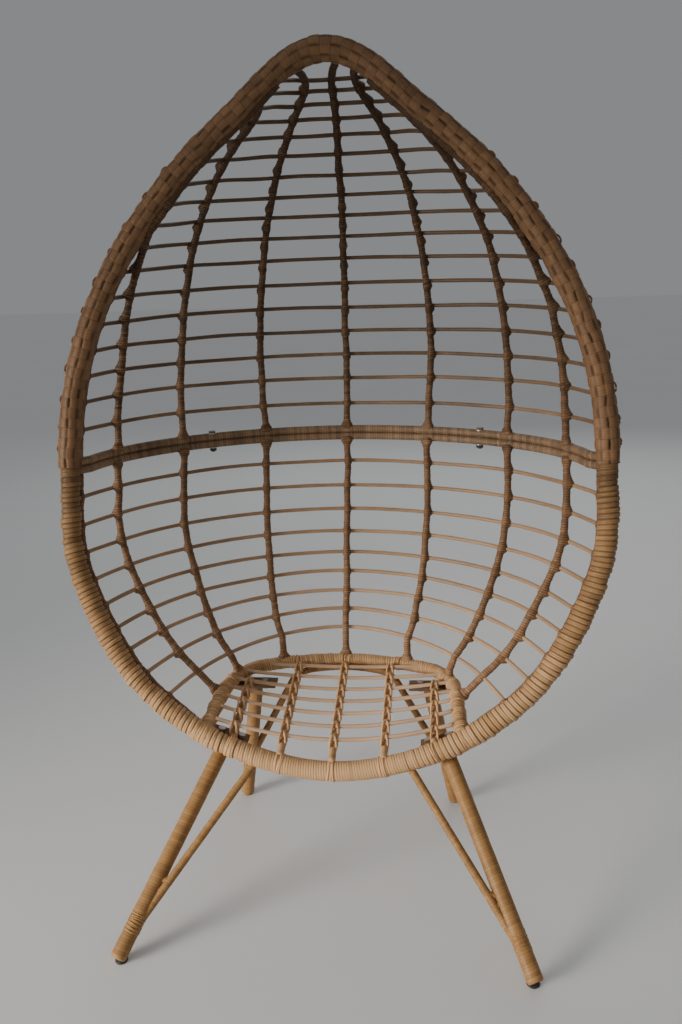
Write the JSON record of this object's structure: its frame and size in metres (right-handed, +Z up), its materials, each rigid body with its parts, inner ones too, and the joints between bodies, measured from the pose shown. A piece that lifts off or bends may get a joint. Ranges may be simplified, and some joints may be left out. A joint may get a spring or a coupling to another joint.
{
  "type": "egg chair",
  "caption": "Free-standing egg chair with a pointed, two-part openwork shell in wrapped and woven rattan, a slatted seat and splayed braced legs",
  "frame": {"origin": "on the floor, under the centre of the bounding box", "axes": "+Z up along the chair's height; the open side faces -Y; +X to the right seen from the front; shortest along Y"},
  "size_m": [0.9832, 0.7008, 1.455],
  "materials": {
    "woven_rattan": "basket-woven flat strand, satin tan brown",
    "wrapped_rattan": "close-wrapped flat strand, satin tan",
    "leg_rattan": "close-wrapped strand, satin golden ochre",
    "rib_rattan": "strand-wrapped rib with lashings, satin brown",
    "cane_rod": "smooth rod, satin tan",
    "bright_steel": "bright zinc-plated steel",
    "dark_steel": "dark painted steel",
    "black_cap": "matt black moulded plastic"
  },
  "bodies": {
    "root": {"upper_rim": "woven_rattan", "lower_rim": "wrapped_rattan", "upper_mid_rail": "cane_rod", "lower_mid_rail": "cane_rod", "upper_rib_1": "rib_rattan", "upper_rib_2": "rib_rattan", "upper_rib_3": "rib_rattan", "upper_rib_4": "rib_rattan", "upper_rib_5": "rib_rattan", "upper_rib_6": "rib_rattan", "upper_rib_7": "rib_rattan", "lower_rib_1": "rib_rattan", "lower_rib_2": "rib_rattan", "lower_rib_3": "rib_rattan", "lower_rib_4": "rib_rattan", "lower_rib_5": "rib_rattan", "lower_rib_6": "rib_rattan", "lower_rib_7": "rib_rattan", "upper_side_rod_left": "cane_rod", "upper_side_rod_right": "cane_rod", "lower_side_rod_left": "cane_rod", "lower_side_rod_right": "cane_rod", "upper_rungs_a": "cane_rod", "upper_rungs_b": "cane_rod", "upper_rungs_c": "cane_rod", "upper_rungs_d": "cane_rod", "upper_rungs_e": "cane_rod", "lower_rungs_a": "cane_rod", "lower_rungs_b": "cane_rod", "lower_rungs_c": "cane_rod", "seat_frame": "wrapped_rattan", "seat_slats": "wrapped_rattan", "seat_rods_front": "cane_rod", "seat_rods_back": "cane_rod", "seat_plates": "dark_steel", "rear_arch": "leg_rattan", "front_left_leg": "leg_rattan", "front_right_leg": "leg_rattan", "rear_left_leg": "leg_rattan", "rear_right_leg": "leg_rattan", "front_left_brace": "leg_rattan", "front_right_brace": "leg_rattan", "rear_left_brace": "leg_rattan", "rear_right_brace": "leg_rattan", "front_left_plate": "dark_steel", "front_right_plate": "dark_steel", "rear_left_plate": "dark_steel", "rear_right_plate": "dark_steel", "front_left_glide": "black_cap", "front_right_glide": "black_cap", "rear_left_glide": "black_cap", "rear_right_glide": "black_cap", "leg_bolts": "bright_steel", "leg_washers": "dark_steel", "leg_nuts": "bright_steel", "rail_bolts": "dark_steel", "rail_washers": "bright_steel", "rail_nuts": "black_cap"}
  },
  "joints": []
}
